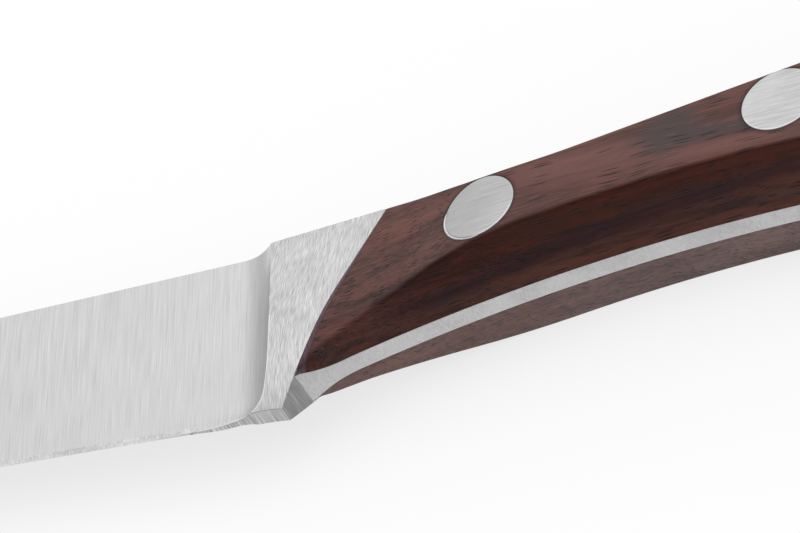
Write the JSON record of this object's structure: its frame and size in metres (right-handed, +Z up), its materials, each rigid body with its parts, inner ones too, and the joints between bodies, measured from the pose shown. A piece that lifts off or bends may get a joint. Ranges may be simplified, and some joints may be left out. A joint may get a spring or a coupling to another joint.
{
  "type": "paring knife",
  "caption": "Forged kitchen knife with a straight-spined blade, slanted integral bolster, full tang and bevelled wood scales held by flush rivets.",
  "frame": {"origin": "on the right scale's flat, half way between the middle and rear rivets, where the knife lies on a table", "axes": "+X from the tip to the butt, +Y from the cutting edge to the spine, +Z up out of the left side"},
  "size_m": [0.235, 0.0298, 0.0149],
  "materials": {
    "blade_steel": "satin, brushed across the blade",
    "rosewood": "oiled, fine pores along the handle",
    "rivet_steel": "satin, ground flush along the handle"
  },
  "bodies": {
    "root": {"forged_blade": "blade_steel", "left_scale": "rosewood", "right_scale": "rosewood", "front_rivet_post": "rivet_steel", "front_rivet_socket": "rivet_steel", "middle_rivet_post": "rivet_steel", "middle_rivet_socket": "rivet_steel", "rear_rivet_post": "rivet_steel", "rear_rivet_socket": "rivet_steel"}
  },
  "joints": []
}
